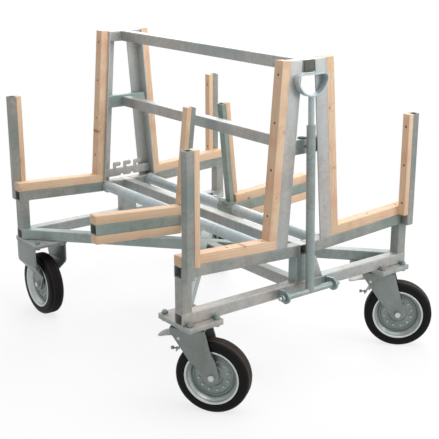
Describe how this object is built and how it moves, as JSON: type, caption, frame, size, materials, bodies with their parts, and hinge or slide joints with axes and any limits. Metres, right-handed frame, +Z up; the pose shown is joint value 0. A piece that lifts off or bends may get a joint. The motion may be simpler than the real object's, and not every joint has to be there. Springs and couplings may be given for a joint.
{
  "type": "slab trolley",
  "caption": "A-frame slab trolley: tubular steel base on casters, timber-faced arms, legs and corner stakes, sliding middle supports and a hinged drawbar with a D-handle.",
  "frame": {"origin": "on the floor, under the middle of the frame", "axes": "+X along the trolley towards the drawbar end, +Y to the right seen from that end, +Z up"},
  "size_m": [1.332, 1.1066, 1.1161],
  "materials": {
    "galvanised": "hot-dip galvanised, dull grey",
    "zinc_plated": "bright zinc plating",
    "black_plastic": "black plug",
    "grey_plastic": "dark grey end cap",
    "timber": "planed softwood",
    "tyre": "black rubber"
  },
  "bodies": {
    "frame": {"arm_timbers": "timber", "base_spine": "galvanised", "caster_bolts": "zinc_plated", "column_gusset": "galvanised", "corner_posts": "galvanised", "cross_brace": "galvanised", "cross_plug": "black_plastic", "deck_spine": "galvanised", "deck_tubes": "galvanised", "diagonal_brace": "galvanised", "drawbar_lugs": "galvanised", "far_arms": "galvanised", "far_axles": "zinc_plated", "far_column": "galvanised", "far_left_fork": "zinc_plated", "far_legs": "galvanised", "far_lower_beam": "galvanised", "far_right_fork": "zinc_plated", "hook_rack": "galvanised", "leg_timbers": "timber", "mid_cross_pieces": "galvanised", "mid_rail": "galvanised", "mount_plates": "galvanised", "near_arms": "galvanised", "near_column": "galvanised", "near_left_swivel_plate": "zinc_plated", "near_legs": "galvanised", "near_lower_beam": "galvanised", "near_right_swivel_plate": "zinc_plated", "pivot_nuts": "zinc_plated", "pivot_rod": "zinc_plated", "rail_caps": "grey_plastic", "stake_timbers": "timber", "stakes": "galvanised", "timber_screws": "zinc_plated", "top_cross_pieces": "galvanised", "top_rail": "galvanised", "tube_collars": "galvanised"},
    "near_left_swivel": {"near_left_fork": "zinc_plated", "near_left_axle": "zinc_plated"},
    "near_right_swivel": {"near_right_fork": "zinc_plated", "near_right_axle": "zinc_plated"},
    "near_left_wheel": {"near_left_rim": "zinc_plated", "near_left_tyre": "tyre"},
    "near_right_wheel": {"near_right_rim": "zinc_plated", "near_right_tyre": "tyre"},
    "far_left_wheel": {"far_left_rim": "zinc_plated", "far_left_tyre": "tyre"},
    "far_right_wheel": {"far_right_rim": "zinc_plated", "far_right_tyre": "tyre"},
    "near_left_brake": {"near_left_brake_pedal": "zinc_plated"},
    "near_right_brake": {"near_right_brake_pedal": "zinc_plated"},
    "drawbar": {"drawbar_tube": "galvanised", "drawbar_handle": "galvanised"},
    "left_support": {"left_support_frame": "galvanised", "left_support_timbers": "timber"},
    "right_support": {"right_support_frame": "galvanised", "right_support_timbers": "timber"},
    "left_clamp": {"left_clamp_screw": "zinc_plated"},
    "right_clamp": {"right_clamp_screw": "zinc_plated"}
  },
  "joints": [
    {"name": "near_left_swivel", "type": "hinge", "parent": "frame", "child": "near_left_swivel", "pos_m": [0.516, -0.431, 0.3], "axis": [0, 0, 1], "continuous": true},
    {"name": "near_left_wheel_spin", "type": "hinge", "parent": "near_left_swivel", "child": "near_left_wheel", "pos_m": [0.57942, -0.38559, 0.125], "axis": [-0.5821, 0.8131, 0], "continuous": true},
    {"name": "near_left_brake_press", "type": "hinge", "parent": "near_left_swivel", "child": "near_left_brake", "pos_m": [0.49323, -0.4473, 0.256], "axis": [0.5821, -0.8131, 0], "range_deg": [0, 15]},
    {"name": "far_left_wheel_spin", "type": "hinge", "parent": "frame", "child": "far_left_wheel", "pos_m": [-0.516, -0.431, 0.125], "axis": [0, 1, 0], "continuous": true},
    {"name": "near_right_swivel", "type": "hinge", "parent": "frame", "child": "near_right_swivel", "pos_m": [0.516, 0.431, 0.3], "axis": [0, 0, 1], "continuous": true},
    {"name": "near_right_wheel_spin", "type": "hinge", "parent": "near_right_swivel", "child": "near_right_wheel", "pos_m": [0.57211, 0.48518, 0.125], "axis": [-0.6947, 0.7193, 0], "continuous": true},
    {"name": "near_right_brake_press", "type": "hinge", "parent": "near_right_swivel", "child": "near_right_brake", "pos_m": [0.49586, 0.41155, 0.256], "axis": [0.6947, -0.7193, 0], "range_deg": [0, 15]},
    {"name": "far_right_wheel_spin", "type": "hinge", "parent": "frame", "child": "far_right_wheel", "pos_m": [-0.516, 0.431, 0.125], "axis": [0, 1, 0], "continuous": true},
    {"name": "drawbar_tilt", "type": "hinge", "parent": "frame", "child": "drawbar", "pos_m": [0.608, 0, 0.336], "axis": [0, 1, 0], "range_deg": [0, 115]},
    {"name": "left_support_slide", "type": "slide", "parent": "frame", "child": "left_support", "axis": [1, 0, 0], "range_m": [-0.506, 0.459]},
    {"name": "left_clamp_turn", "type": "hinge", "parent": "left_support", "child": "left_clamp", "pos_m": [0.023, -0.105, 0.47648], "axis": [0, 0.7071, 0.7071], "range_deg": [0, 360]},
    {"name": "right_support_slide", "type": "slide", "parent": "frame", "child": "right_support", "axis": [1, 0, 0], "range_m": [-0.506, 0.459]},
    {"name": "right_clamp_turn", "type": "hinge", "parent": "right_support", "child": "right_clamp", "pos_m": [0.023, 0.105, 0.47648], "axis": [0, -0.7071, 0.7071], "range_deg": [0, 360]}
  ]
}
